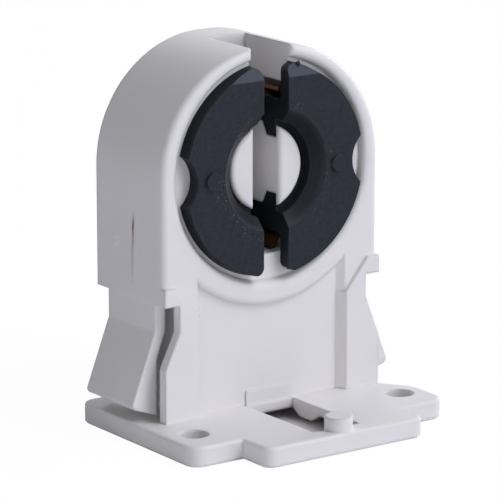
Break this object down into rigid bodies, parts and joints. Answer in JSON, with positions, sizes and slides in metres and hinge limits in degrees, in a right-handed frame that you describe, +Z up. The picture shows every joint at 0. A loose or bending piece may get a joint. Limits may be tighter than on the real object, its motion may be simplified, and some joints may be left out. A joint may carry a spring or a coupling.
{
  "type": "fluorescent tube lamp holder, rotor type",
  "caption": "White moulded lamp holder for a bi-pin fluorescent tube, with a dark turning rotor, snap legs and a slotted foot plate.",
  "frame": {"origin": "middle of the line between the two foot holes, on the plate's underside", "axes": "+Z up from the foot plate to the tube axis, +Y from the rotor face to the back cover, +X to the right seen from the front"},
  "size_m": [0.0324, 0.0253, 0.0397],
  "materials": {
    "housing_white": "satin white thermoplastic moulding",
    "cover_white": "satin white thermoplastic moulding",
    "rotor_grey": "satin dark grey moulding",
    "contact_bronze": "rolled bronze strip"
  },
  "bodies": {
    "body": {"housing": "housing_white", "rear_cover": "cover_white", "contact_left": "contact_bronze", "contact_right": "contact_bronze"},
    "turning_rotor": {"rotor": "rotor_grey"}
  },
  "joints": [
    {"name": "rotor_turn", "type": "hinge", "parent": "body", "child": "turning_rotor", "pos_m": [0, 0.00395, 0.0269], "axis": [0, 1, 0], "range_deg": [-90, 90]}
  ]
}
